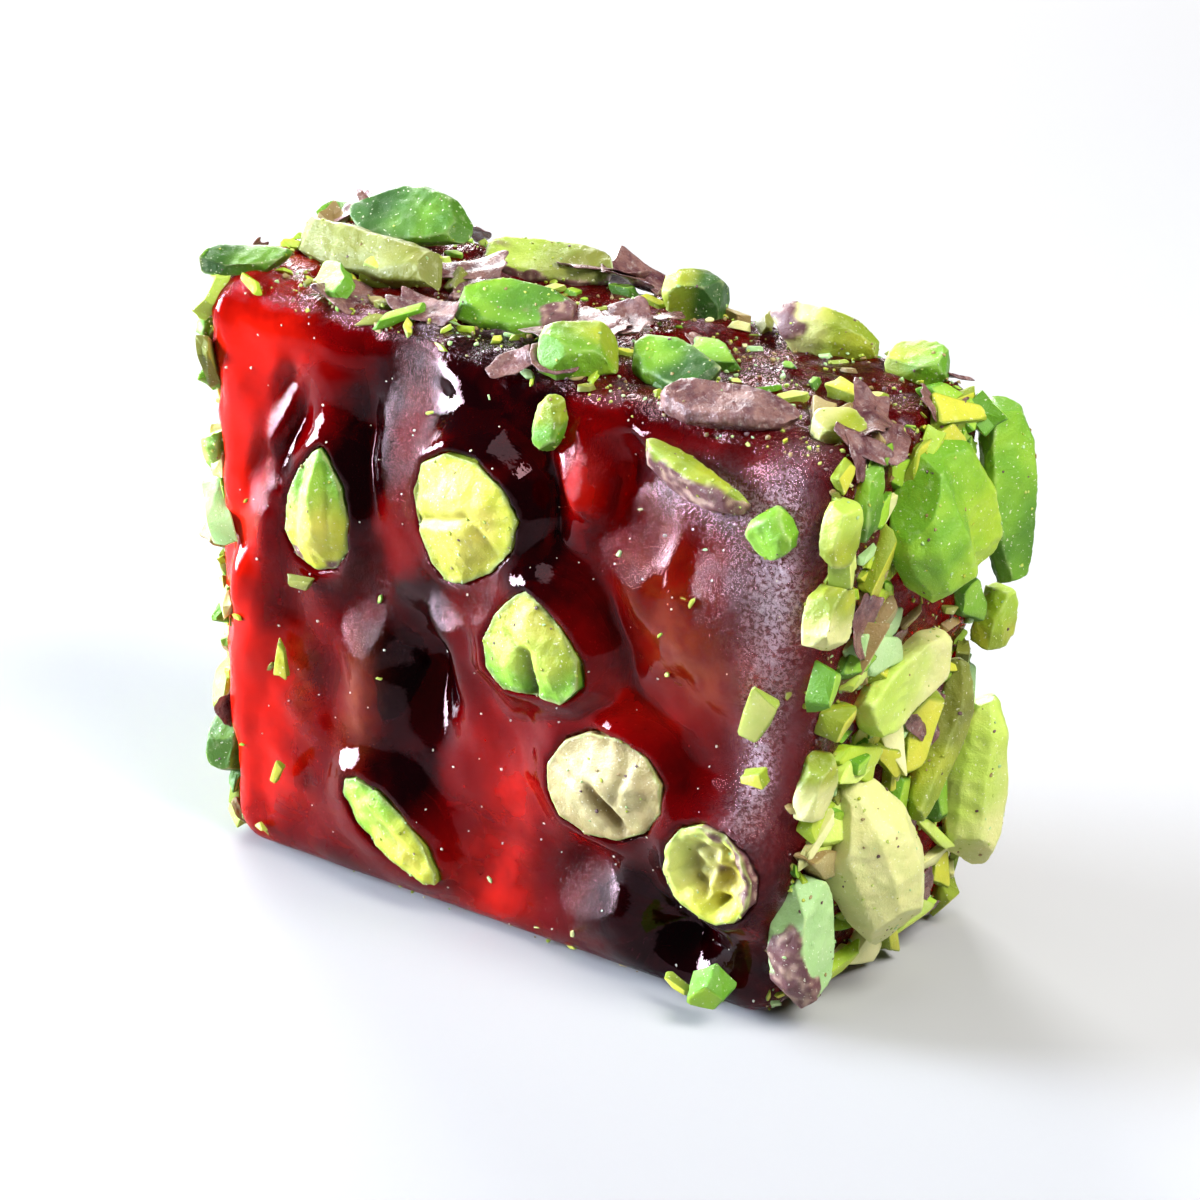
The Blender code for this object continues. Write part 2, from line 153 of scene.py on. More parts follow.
# Where a sunken kernel makes the jelly amber, and where pale lilac starch dust is painted on the cut face's edge,
# partly real starch and partly a painted sheen.
AMBER_PATCHES = (
    Swell(15.2, 22.4, 3.2, 3.0, 0.95),
    Swell(12.4, 26.2, 2.6, 2.8, 0.35),
    Swell(-10.2, 12.4, 1.2, 3.2, 0.9, -8),
    Swell(-14.6, 13.0, 1.0, 3.0, 0.4),
)
STARCH_AND_SHEEN_PATCHES = (
    Swell(19.4, 27.5, 1.9, 8.0, 1.0),
    Swell(18.6, 16.0, 1.3, 5.0, 0.7),
    Swell(15.0, 32.4, 3.6, 1.4, 0.8),
)

# Where the cut face has a dried, finely wrinkled skin.
DRY_PATCHES = (
    Swell(-7.2, 31.0, 2.4, 6.0, 1.0, 12),
    Swell(-0.2, 22.8, 1.8, 2.6, 0.9, -30),
    Swell(-4.0, 20.4, 2.6, 2.8, 0.5),
    Swell(-10.4, 17.0, 2.4, 3.4, 0.5),
    Swell(-18.4, 24.0, 1.6, 7.0, 0.4, -6),
    Swell(9.6, 28.0, 2.2, 4.0, 0.9, -35),
    Swell(5.8, 31.8, 1.6, 3.0, 0.7, -20),
    Swell(7.0, 5.0, 2.4, 3.4, 0.8, 20),
    Swell(-9.6, 20.6, 2.2, 3.0, 0.7, 0),
    Swell(17.5, 27.0, 3.0, 8.0, 0.8, 0),
)

# How a pistachio piece looks: linear colours of its outer skin, of its cut and of its cut's middle.
Looks = namedtuple("Looks", "outside cut heart")
GREEN = Looks((0.06, 0.17, 0.008), (0.19, 0.40, 0.02), (0.34, 0.52, 0.05))
BRIGHT = Looks((0.11, 0.29, 0.010), (0.29, 0.52, 0.03), (0.46, 0.62, 0.08))
YELLOW = Looks((0.24, 0.31, 0.015), (0.56, 0.56, 0.04), (0.70, 0.62, 0.10))
PALE = Looks((0.34, 0.45, 0.06), (0.60, 0.66, 0.16), (0.72, 0.71, 0.26))
MINT = Looks((0.34, 0.54, 0.22), (0.46, 0.66, 0.30), (0.54, 0.70, 0.36))
LEAF = Looks((0.15, 0.35, 0.015), (0.32, 0.53, 0.03), (0.48, 0.62, 0.07))
LIME = Looks((0.34, 0.50, 0.02), (0.46, 0.60, 0.04), (0.58, 0.66, 0.08))
LIGHT = Looks((0.46, 0.60, 0.08), (0.60, 0.73, 0.14), (0.70, 0.76, 0.22))
IVORY = Looks((0.66, 0.64, 0.26), (0.80, 0.77, 0.36), (0.84, 0.80, 0.44))
DARK = Looks((0.02, 0.075, 0.006), (0.05, 0.17, 0.012), (0.12, 0.26, 0.03))
OLIVE = Looks((0.17, 0.18, 0.02), (0.25, 0.26, 0.04), (0.31, 0.31, 0.06))
PURPLE = Looks((0.09, 0.03, 0.04), (0.18, 0.10, 0.11), (0.32, 0.25, 0.23))
CREAM = Looks((0.26, 0.17, 0.06), (0.40, 0.31, 0.13), (0.46, 0.37, 0.18))
GOLD = Looks((0.20, 0.24, 0.012), (0.40, 0.38, 0.025), (0.52, 0.46, 0.06))
SKIN = (0.13, 0.045, 0.05)

# The looks of each piece that shows: its looks at one end and at the other, the way the second lies,
# how much papery skin it keeps, and the way that skin faces.
Dress = namedtuple("Dress", "first second toward skin skin_side", defaults=(None, (1, 0, 0), 0.0, (0, 0, 0)))
DRESSES = {
    "top_nut_1": Dress(OLIVE, OLIVE),
    "top_nut_2": Dress(DARK, GREEN, (1, 0, 0)),
    "top_nut_3": Dress(DARK, GREEN, (1, 0, 0)),
    "top_nut_4": Dress(BRIGHT, GREEN, (1, 0, 0), 0.22, (1, 0, 0)),
    "top_nut_5": Dress(LIGHT, OLIVE, (1, 0, 0), 0.35, (0, -0.8, -0.6)),
    "top_nut_6": Dress(YELLOW, BRIGHT, (0, -1, 0)),
    "top_nut_7": Dress(BRIGHT, DARK, (1, -0.5, 0)),
    "top_nut_8": Dress(YELLOW, DARK, (1, 0, 0)),
    "top_nut_9": Dress(IVORY, YELLOW, (1, 0, 0), 0.35, (-1, 0, 0)),
    "top_nut_10": Dress(YELLOW, BRIGHT, (1, 0, 0)),
    "top_nut_11": Dress(PURPLE, PURPLE, (1, 0, 0), 0.5, (0, 0, 1)),
    "top_nut_12": Dress(IVORY, YELLOW),
    "right_nut_1": Dress(LIME, LEAF, (0, -0.8, 0.6)),
    "right_nut_2": Dress(YELLOW, LIGHT, (0, 0, 1)),
    "right_nut_3": Dress(LEAF, GREEN, (0, 0, -1)),
    "right_nut_4": Dress(GREEN, LEAF, (0, 0, 1)),
    "right_nut_5": Dress(YELLOW, LIME, (0, 0, 1)),
    "right_nut_6": Dress(IVORY, LIGHT, (0, -1, 0.4)),
    "right_nut_7": Dress(IVORY, YELLOW, (0, 0, 1)),
    "right_nut_8": Dress(YELLOW, OLIVE, (0, 0, 1)),
    "right_nut_9": Dress(LIGHT, IVORY, (0, 0.6, -0.6)),
    "right_nut_10": Dress(IVORY, YELLOW, (0, 0, 1)),
    "right_nut_11": Dress(IVORY, IVORY),
    "right_nut_12": Dress(MINT, MINT, (0, 0, 1), 0.30, (0, -0.7, -0.7)),
    "front_nut_1": Dress(YELLOW, YELLOW, (1, 0, 0), 0.55, (0, -0.2, -1)),
    "front_nut_2": Dress(BRIGHT, YELLOW, (0, 0, 1)),
    "front_nut_3": Dress(LEAF, BRIGHT, (0, 0, -1)),
}

# The cut kernels of the front: the same looks, how far the cut bulges, and its creases, each from one
# point of the cut to another, how wide and how deep.
Cut = namedtuple("Cut", "dress bulge creases hollow", defaults=((), 0.0))
CUTS = {
    "front_kernel_1": Cut(
        Dress(GREEN, YELLOW, (0.4, 0, -1), 0.15, (0, 0, -1)),
        1.1,
        ((-0.9, 3.4, -1.3, -2.6, 0.35, 0.30), (0.5, 3.0, 1.2, -2.2, 0.30, 0.28)),
    ),
    "front_kernel_2": Cut(
        Dress(GOLD, YELLOW, (1, 0, 1.0)),
        0.7,
        ((-3.8, -1.0, 0.8, 0.7, 0.35, 0.35), (0.8, 0.7, 2.6, -1.2, 0.4, 0.25), (-3.2, 3.0, -3.6, -2.0, 0.5, 0.3)),
    ),
    "front_kernel_3": Cut(
        Dress(GOLD, GREEN, (0, 0, -1)),
        0.6,
        ((0.2, -3.6, 0.1, -0.2, 0.42, 0.75), (0.1, -0.2, -1.4, 0.8, 0.3, 0.25)),
    ),
    "front_kernel_4": Cut(
        Dress(CREAM, CREAM, (1, 0, 0)),
        0.7,
        ((-0.6, -0.2, 1.4, -2.2, 0.40, 0.80), (-0.6, -0.2, -3.0, 0.4, 0.35, 0.25), (2.0, 2.0, 1.0, -0.8, 0.3, 0.2)),
    ),
    "front_kernel_5": Cut(Dress(PALE, YELLOW, (1, 0, -1), 0.3, (1, 0, 0.4)), 0.2, (), 1.1),
    "front_kernel_6": Cut(Dress(BRIGHT, YELLOW, (1, 0, -1)), 0.5, ((-2.2, 1.8, 2.6, -1.6, 0.3, 0.3),)),
}


# ---------------------------------------------------------------- small helpers


def between(low, high, share):
    return low + (high - low) * share


def link(obj):
    bpy.context.scene.collection.objects.link(obj)
    return obj


def mesh_object(name, bm):
    """An object of a mesh in millimetres, in metres."""
    bmesh.ops.scale(bm, vec=(MM, MM, MM), verts=bm.verts)
    mesh = bpy.data.meshes.new(name)
    bm.to_mesh(mesh)
    bm.free()
    return link(bpy.data.objects.new(name, mesh))


def place_piece(obj, slot, *nodes):
    """Makes an object a piece of the slice, in place of the CAD nodes it stands for."""
    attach(obj, ROOT)
    if nodes:
        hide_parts(*nodes)
    return obj


def set_attribute(mesh, name, values):
    layer = mesh.attributes.new(name, "FLOAT", "POINT")
    layer.data.foreach_set("value", np.asarray(values, dtype=np.float32))


def points_of(mesh):
    flat = np.empty(len(mesh.vertices) * 3)
    mesh.vertices.foreach_get("co", flat)
    return flat.reshape(-1, 3)


def apply_modifiers(obj):
    """Bakes an object's modifiers into its mesh."""
    graph = bpy.context.evaluated_depsgraph_get()
    mesh = bpy.data.meshes.new_from_object(obj.evaluated_get(graph))
    obj.modifiers.clear()
    obj.data = mesh
    return obj


# ---------------------------------------------------------------- materials


class Nodes:
    """Short calls for building a material's node tree."""

    def __init__(self, name):
        self.material = bpy.data.materials.new(name)
        self.material.use_nodes = True
        self.tree = self.material.node_tree
        self.shader = self.tree.nodes["Principled BSDF"]
        self.output = self.tree.nodes["Material Output"]

    def node(self, kind, **settings):
        made = self.tree.nodes.new(kind)
        for key, value in settings.items():
            setattr(made, key, value)
        return made

    def wire(self, source, target):
        self.tree.links.new(source, target)

    def put(self, value, target):
        """Wires a socket, or sets a plain value."""
        if isinstance(value, bpy.types.NodeSocket):
            self.wire(value, target)
        elif isinstance(value, tuple) and len(value) == 3 and target.type == "RGBA":
            target.default_value = (*value, 1.0)
        else:
            target.default_value = value

    def attribute(self, name):
        return self.node("ShaderNodeAttribute", attribute_name=name).outputs["Fac"]

    def colour_attribute(self, name):
        return self.node("ShaderNodeAttribute", attribute_name=name).outputs["Color"]

    def place(self, stretch=(1, 1, 1)):
        """The piece's own coordinates, in millimetres."""
        coordinates = self.node("ShaderNodeTexCoord").outputs["Object"]
        mapping = self.node("ShaderNodeMapping")
        mapping.inputs["Scale"].default_value = [1000 * k for k in stretch]
        self.wire(coordinates, mapping.inputs["Vector"])
        return mapping.outputs["Vector"]

    def noise(self, size, detail=2.0, roughness=0.5, stretch=(1, 1, 1), distortion=0.0):
        """Noise with features of about this size in millimetres."""
        made = self.node("ShaderNodeTexNoise")
        made.inputs["Scale"].default_value = 1 / size
        made.inputs["Detail"].default_value = detail
        made.inputs["Roughness"].default_value = roughness
        made.inputs["Distortion"].default_value = distortion
        self.wire(self.place(stretch), made.inputs["Vector"])
        return made.outputs["Fac"]

    def cells(self, size, feature="F1", randomness=1.0, output="Distance"):
        made = self.node("ShaderNodeTexVoronoi", feature=feature)
        made.inputs["Scale"].default_value = 1 / size
        made.inputs["Randomness"].default_value = randomness
        self.wire(self.place(), made.inputs["Vector"])
        return made.outputs[output]

    def span(self, value, low, high, out_low=0.0, out_high=1.0):
        made = self.node("ShaderNodeMapRange", interpolation_type="SMOOTHSTEP")
        self.put(value, made.inputs["Value"])
        for socket, number in zip(("From Min", "From Max", "To Min", "To Max"), (low, high, out_low, out_high)):
            made.inputs[socket].default_value = number
        return made.outputs["Result"]

    def math(self, operation, first, second=0.0, clamp=False):
        made = self.node("ShaderNodeMath", operation=operation, use_clamp=clamp)
        self.put(first, made.inputs[0])
        self.put(second, made.inputs[1])
        return made.outputs[0]

    def blend(self, share, first, second, mode="MIX"):
        made = self.node("ShaderNodeMix", data_type="RGBA", blend_type=mode)
        self.put(share, made.inputs["Factor"])
        self.put(first, made.inputs["A"])
        self.put(second, made.inputs["B"])
        return made.outputs["Result"]

    def bump(self, height, distance, strength=1.0, below=None):
        """A bump of this many millimetres."""
        made = self.node("ShaderNodeBump")
        made.inputs["Strength"].default_value = strength
        made.inputs["Distance"].default_value = distance * MM
        self.wire(height, made.inputs["Height"])
        if below:
            self.wire(below, made.inputs["Normal"])
        return made.outputs["Normal"]

    def set(self, **values):
        for key, value in values.items():
            self.put(value, self.shader.inputs[key.replace("_", " ")])


def jelly_material():
    n = Nodes("jelly")
    coat = n.attribute("coat")
    dry = n.attribute("dry")
    # Pale lilac starch dust on the coated sides and on the front's right edge; on that edge it is partly a painted
    # sheen.
    speckle = n.span(n.noise(0.26, 5, 0.75, distortion=0.6), 0.38, 0.62)
    patches = n.span(n.noise(2.6, 3, 0.6), 0.50, 0.68, 0.0, 0.6)
    starch_and_sheen_share = n.math("MAXIMUM", n.math("MULTIPLY", patches, coat), n.attribute("starch_and_sheen"))
    dust_and_sheen = n.math("MULTIPLY", n.span(speckle, 0, 1, 0.35, 1.0), starch_and_sheen_share, clamp=True)
    # Painted light and shade: the jelly's colour runs from near black to bright red with the painted glow, and where
    # it is painted bright its transmission is lowered.
    painted_glow = n.math("ADD", n.attribute("painted_glow"), n.span(n.noise(3.2, 3, 0.55), 0.2, 0.8, -0.14, 0.14))
    gel = n.blend(n.span(painted_glow, 0.0, 0.5), (0.012, 0.0, 0.001), (0.34, 0.0, 0.001))
    gel = n.blend(n.span(painted_glow, 0.45, 1.0), gel, (0.92, 0.012, 0.003))
    sunken = n.math("MULTIPLY", n.attribute("amber"), n.span(n.noise(1.4, 4, 0.65), 0.35, 0.62, 0.30, 1.0))
    gel = n.blend(sunken, gel, (0.52, 0.10, 0.022))
    colour = n.blend(dust_and_sheen, gel, (0.58, 0.48, 0.56))
    n.set(
        Base_Color=colour,
        Roughness=n.math("ADD", n.span(dust_and_sheen, 0, 1, 0.04, 0.48), n.span(dry, 0.3, 1.0, 0.0, 0.05)),
        IOR=1.31,
        Specular_Tint=(1.0, 0.55, 0.62),
        Transmission_Weight=n.span(n.math("MAXIMUM", dust_and_sheen, n.span(painted_glow, 0.4, 1.0, 0.0, 0.5)), 0, 1, 0.75, 0.2),
    )
    wrinkles = n.noise(0.20, 4, 0.7, stretch=(1.4, 1.0, 0.4), distortion=1.5)
    creased = n.math("MULTIPLY", wrinkles, n.span(dry, 0.2, 0.9))
    grain = n.math("MULTIPLY", n.noise(0.3, 3, 0.6), n.math("MAXIMUM", coat, n.attribute("starch_and_sheen")))
    relief = n.bump(creased, 0.13, below=n.bump(n.noise(0.9, 3, 0.6), 0.03))
    n.set(Normal=n.bump(grain, 0.35, below=relief))
    absorb = n.node("ShaderNodeVolumeAbsorption")
    absorb.inputs["Color"].default_value = (0.955, 0.0, 0.01, 1)
    absorb.inputs["Density"].default_value = 900.0
    n.wire(absorb.outputs["Volume"], n.output.inputs["Volume"])
    return n.material


def nut_material():
    """Pistachio: each point's own colour, mottled, with a paler bloom, fine grain and specks of starch."""
    n = Nodes("nut")
    colour = n.colour_attribute("tint")
    cut = n.attribute("cut")
    mottle = n.span(n.noise(1.1, 4, 0.65), 0.3, 0.7)
    colour = n.blend(n.math("MULTIPLY", mottle, 0.4), colour, (0.72, 0.88, 0.62), "MULTIPLY")
    bloom = n.math("MULTIPLY", n.span(n.noise(0.7, 4, 0.7), 0.52, 0.75), n.span(cut, 0, 1, 0.06, 0.16))
    colour = n.blend(bloom, colour, (0.80, 0.84, 0.56))
    specks = n.span(n.noise(0.20, 2, 0.5), 0.66, 0.72)
    colour = n.blend(n.math("MULTIPLY", specks, 0.55), colour, (0.86, 0.86, 0.66))
    n.set(
        Base_Color=colour,
        Roughness=n.span(n.noise(0.8, 3, 0.6), 0.2, 0.8, 0.34, 0.60),
        IOR=1.45,
        Subsurface_Weight=0.15,
        Subsurface_Scale=0.001,
        Specular_IOR_Level=0.5,
    )
    n.shader.inputs["Subsurface Radius"].default_value = (0.8, 0.8, 0.25)
    fine = n.bump(n.noise(0.16, 4, 0.7), 0.05)
    streaks = n.noise(0.6, 4, 0.6, distortion=0.8)
    n.set(Normal=n.bump(streaks, 0.05, below=fine))
    return n.material


# ---------------------------------------------------------------- the jelly


def half_width(z):
    return between(BASE_WIDTH, TOP_WIDTH, z / HEIGHT) / 2


def half_depth(z):
    return between(BASE_DEPTH, TOP_DEPTH, z / HEIGHT) / 2


def middle(z):
    """How far the slab leans sideways at this height."""
    return TOP_SHIFT * z / HEIGHT


def kernel_seat(node, facing):
    """The outline of a cut kernel's flat section, as seen on its face, and how far out it lies."""
    points = points_of(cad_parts[node].data) / MM
    out = (points[:, 1] * facing).max()
    ring = points[points[:, 1] * facing > out - 0.02][:, (0, 2)]
    ring = np.unique(ring.round(3), axis=0)
    middle_point = ring.mean(axis=0)
    order = np.argsort(np.arctan2(*(ring - middle_point).T))
    return ring[order], out


def outside_by(ring, spots):
    """How far each spot lies outside a ring of points; negative inside."""
    starts, ends = ring, np.roll(ring, -1, axis=0)
    along = ends - starts
    offset = spots[:, None, :] - starts[None]
    share = np.clip((offset * along).sum(-1) / (along**2).sum(-1), 0, 1)
    gap = np.linalg.norm(offset - share[..., None] * along, axis=-1).min(axis=1)
    side = offset[..., 0] * along[..., 1] - offset[..., 1] * along[..., 0]
    inside = (side > 0).all(axis=1) | (side < 0).all(axis=1)
    return np.where(inside, -gap, gap)


def gauss(x, z, s):
    """How strongly a swell or patch acts at each place, from 0 to 1."""
    turn = math.radians(s.turn)
    across = (x - s.x) * math.cos(turn) + (z - s.z) * math.sin(turn)
    along = (z - s.z) * math.cos(turn) - (x - s.x) * math.sin(turn)
    return np.exp(-((across / s.spread_x) ** 2) - (along / s.spread_z) ** 2)


def face_relief(x, z, facing):
    """How far a cut face stands out from its slab at each place."""
    swells, prefix = (FRONT_SWELLS, "front") if facing < 0 else (BACK_SWELLS, "back")
    height = sum(s.height * gauss(-facing * x, z, s) for s in swells)
    for f in FRONT_FACETS if facing < 0 else ():
        turn = math.radians(f.turn)
        across = (x - f.x) * math.cos(turn) + (z - f.z) * math.sin(turn)
        along = (z - f.z) * math.cos(turn) - (x - f.x) * math.sin(turn)
        within = np.exp(-(((across / f.reach_x) ** 2 + (along / f.reach_z) ** 2) ** 2))
        base = sum(s.height * gauss(f.x, f.z, s) for s in swells)
        height = between(height, base + f.slope_x * (x - f.x) + f.slope_z * (z - f.z), within)
    slab = half_depth(z)
    spots = np.stack((x, z), axis=1)
    for node in sorted(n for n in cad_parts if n.startswith(f"{prefix}_kernel")):
        ring, out = kernel_seat(node, facing)
        away = outside_by(ring, spots)
        hold = np.exp(-((np.maximum(away, 0) / SEAT_REACH) ** 2))
        sunk = SEAT_DEPTH + SEAT_FLOOR * np.clip(-away / 0.8, 0, 1)
        height = between(height, out - sunk - slab, hold)
    return height


def noise_at(points, size):
    return np.array([noise.noise(Vector(p) / size) for p in points])


def jelly_points(spots):
    """Where points of the cube from -1 to 1 lie on the jelly, and how far each is on a coated side."""
    z = HEIGHT * (spots[:, 2] + 1) / 2
    half = np.stack((half_width(z), half_depth(z), np.full_like(z, HEIGHT / 2)), axis=1)
    points = spots * half
    core = np.clip(points, EDGE_ROUND - half, half - EDGE_ROUND)
    outward = points - core
    outward /= np.linalg.norm(outward, axis=1)[:, None]
    places = core + outward * EDGE_ROUND
    places[:, 0] += middle(z)
    places[:, 2] += HEIGHT / 2
    rise = np.where(outward[:, 2] > -0.95, np.clip(places[:, 2] / 4, 0, 1), 0)
    uneven = noise_at(places, UNEVEN_LENGTH) + 0.5 * noise_at(places, UNEVEN_LENGTH / 3)
    places += outward * (uneven * UNEVEN * rise)[:, None]
    facing = np.clip((np.abs(outward[:, 1]) - 0.3) / 0.7, 0, 1)
    coated = 1 - np.clip((np.abs(outward[:, 1]) - 0.45) / 0.4, 0, 1)
    for side in (-1, 1):
        here = outward[:, 1] * side > 0.3
        relief = face_relief(places[here, 0], places[here, 2], side)
        places[here, 1] += side * relief * facing[here] * rise[here]
    # The cut faces carry soft ripples, and the coated sides the dents of the nuts.
    ripple = noise_at(places, 2.6) * 0.18 + noise_at(places, 1.1) * 0.06
    dents = noise_at(places, 1.7) * 0.34 + noise_at(places, 0.7) * 0.14
    places += outward * (between(ripple, dents, coated) * rise)[:, None]
    return places, coated


def make_jelly():
    steps = [max(2, round(size / JELLY_STEP)) for size in (TOP_WIDTH, TOP_DEPTH + 3, HEIGHT)]
    found = {}
    faces = []

    def corner(*spot):
        return found.setdefault(spot, len(found))

    for axis in range(3):
        first, second = (axis + 1) % 3, (axis + 2) % 3
        for end in (0, steps[axis]):
            for i in range(steps[first]):
                for j in range(steps[second]):
                    ring = []
                    for a, b in ((i, j), (i + 1, j), (i + 1, j + 1), (i, j + 1)):
                        spot = [0, 0, 0]
                        spot[axis], spot[first], spot[second] = end, a, b
                        ring.append(corner(*spot))
                    faces.append(ring if end else ring[::-1])
    places, coated = jelly_points(2 * np.array(list(found), dtype=float) / steps - 1)
    mesh = bpy.data.meshes.new("jelly_body")
    mesh.from_pydata((places * MM).tolist(), [], faces)
    obj = link(bpy.data.objects.new("jelly_body", mesh))
    dry = sum(gauss(places[:, 0], places[:, 2], patch) * patch.height for patch in DRY_PATCHES)
    dry = dry * (places[:, 1] < 0) + 0.25 * np.clip(2 * noise_at(places + 40, 6.0), 0, 1)
    front = np.clip(-places[:, 1] / 2, 0, 1)
    # Painted light and shade on the front face: bright where light seems to come through, dark where shade seems to
    # fall.
    painted_glow = PAINTED_GLOW_LEVEL + sum(gauss(places[:, 0], places[:, 2], s) * s.height for s in PAINTED_GLOW_PATCHES) * front
    set_attribute(mesh, "coat", coated)
    set_attribute(mesh, "painted_glow", np.clip(painted_glow, 0, 1))
    # The amber of sunken kernels, and starch dust that is partly a painted sheen, on the front face only.
    for name, patches in (("amber", AMBER_PATCHES), ("starch_and_sheen", STARCH_AND_SHEEN_PATCHES)):
        share = sum(gauss(places[:, 0], places[:, 2], s) * s.height for s in patches) * front
        set_attribute(mesh, name, np.clip(share, 0, 1))
    set_attribute(mesh, "dry", np.clip(dry, 0, 1))
    mesh.shade_smooth()
    mesh.materials.append(jelly_material())
    return place_piece(obj, "jelly", "jelly")


# ---------------------------------------------------------------- kernels and chopped nuts


def cut_faces(mesh, least=0.12):
    """Which of a node's faces are knife cuts: flat stretches that are a good part of its surface."""
    bm = bmesh.new()
    bm.from_mesh(mesh)
    bm.faces.ensure_lookup_table()
    total = sum(face.calc_area() for face in bm.faces)
    flat = set()
    seen = set()
    for face in bm.faces:
        if face.index in seen:
            continue
        group, edge = [face], [face]
        seen.add(face.index)
        while edge:
            for side in edge.pop().edges:
                for other in side.link_faces:
                    if other.index not in seen and other.normal.angle(face.normal, 9.0) < 0.05:
                        seen.add(other.index)
                        group.append(other)
                        edge.append(other)
        if sum(f.calc_area() for f in group) > least * total:
            flat.update(f.index for f in group)
    triangles = [[v.co.copy() for v in face.verts] for face in bm.faces]
    bm.free()
    return flat, triangles


def noise_field(points, size, seed=0):
    """Smooth noise from about -1 to 1 at each point, with features of this size."""
    shift = Vector((seed * 3.7 + 0.31, seed * 1.3 + 0.17, seed * 2.9 + 0.53))
    return np.array([noise.noise(Vector(p) / size + shift) for p in points])


def step(value, low, high):
    share = np.clip((value - low) / (high - low), 0, 1)
    return share * share * (3 - 2 * share)


def mix(first, second, share):
    """Blends colours: each a triple or an array of triples."""
    share = np.asarray(share)[:, None]
    return np.asarray(first) * (1 - share) + np.asarray(second) * share


def unit(vector):
    vector = np.asarray(vector, dtype=float)
    return vector / np.linalg.norm(vector)


def even_mesh(name, node, voxel, rounds):
    """A node's solid again, divided evenly and softened: its object, points and normals in mm."""
    obj = link(bpy.data.objects.new(name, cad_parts[node].data.copy()))
    obj.data.materials.clear()
    remesh = obj.modifiers.new("even", "REMESH")
    remesh.mode = "VOXEL"
    remesh.voxel_size = voxel * MM
    smooth = obj.modifiers.new("soft", "SMOOTH")
    smooth.factor = 0.5
    smooth.iterations = rounds
    apply_modifiers(obj)
    points = points_of(obj.data) / MM
    normals = np.empty(len(points) * 3)
    obj.data.vertices.foreach_get("normal", normals)
    return obj, points, normals.reshape(-1, 3)


def cut_shares(node, points):
    """For each point, whether it lies on a knife cut, and how far it is from the node's outer skin."""
    flat, triangles = cut_faces(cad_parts[node].data)
    corners = [p for t in triangles for p in t]
    tree = BVHTree.FromPolygons(corners, [tuple(range(3 * i, 3 * i + 3)) for i in range(len(triangles))])
    cut = np.array([tree.find_nearest(Vector(p) * MM)[2] in flat for p in points], dtype=float)
    skin = points[cut < 0.5]
    depth = np.full(len(points), 9.0)
    if len(skin):
        tree = KDTree(len(skin))
        for i, point in enumerate(skin):
            tree.insert(point, i)
        tree.balance()
        depth = np.array([tree.find(p)[2] for p in points])
    return cut, depth


def tint_of(dress, points, normals, cut, depth, seed):
    """The colour of each point of a piece, from its dress."""
    middle_point = points.mean(axis=0)
    reach = np.abs(points - middle_point).max()
    along = (points - middle_point) @ unit(dress.toward) / reach
    along = along + 0.35 * noise_field(points, 2.0, seed)
    second = dress.second or dress.first
    share = step(along, -0.45, 0.45)
    outside, inside, heart = (mix(a, b, share) for a, b in zip(dress.first, second))
    flesh = mix(inside, heart, step(depth + 0.5 * noise_field(points, 0.8, seed + 5), 0.5, 1.9))
    flesh = mix(outside, flesh, step(depth + 0.25 * noise_field(points, 0.6, seed + 3), 0.05, 0.55))
    shell = mix(outside, inside, 0.6 * step(noise_field(points, 1.6, seed + 1), -0.5, 0.7))
    tint = mix(shell, flesh, cut)
    side = normals @ np.asarray(dress.skin_side, dtype=float)
    ends = (points - middle_point) @ np.asarray(dress.skin_side, dtype=float) / reach
    cover = side * 0.5 + ends * 0.8 + 0.7 * noise_field(points, 1.3, seed + 2) + dress.skin * 2 - 1.0
    if dress.skin == 0:
        cover = cover - 9
    skin = mix(SKIN, (0.40, 0.25, 0.20), step(noise_field(points, 0.5, seed + 4), -0.1, 0.6))
    return mix(tint, skin, step(cover, -0.05, 0.12)), step(cover, -0.05, 0.12)


def edge_share(mesh, points, normals):
    """How much each point lies on a convex edge, from 0 to 1."""
    ends = np.empty(len(mesh.edges) * 2, dtype=int)
    mesh.edges.foreach_get("vertices", ends)
    a, b = ends.reshape(-1, 2).T
    count = np.bincount(a, minlength=len(points)) + np.bincount(b, minlength=len(points))
    around = points
    for _ in range(4):
        total = np.zeros_like(points)
        np.add.at(total, a, around[b])
        np.add.at(total, b, around[a])
        around = total / count[:, None]
    return step(((points - around) * normals).sum(axis=1), 0.03, 0.11)


def finish_nut(obj, points, tint, cut):
    mesh = obj.data
    mesh.vertices.foreach_set("co", (points * MM).ravel())
    set_attribute(mesh, "cut", cut)
    layer = mesh.attributes.new("tint", "FLOAT_COLOR", "POINT")
    layer.data.foreach_set("color", np.column_stack((tint, np.ones(len(tint)))).ravel().astype(np.float32))
    mesh.shade_smooth()
    mesh.update()
    return obj


def facet(points, cut, luck, count):
    """Trims a piece with a few flat cuts close to its surface, and marks them as cut."""
    centre = points.mean(axis=0)
    for _ in range(count):
        way = unit([luck.gauss(0, 1) for _ in range(3)])
        reach = (points - centre) @ way
        past = reach - luck.uniform(0.76, 0.92) * reach.max()
        points = points - way * np.maximum(past, 0)[:, None]
        cut = np.where(past > 0, 1.0, cut)
    return points, cut


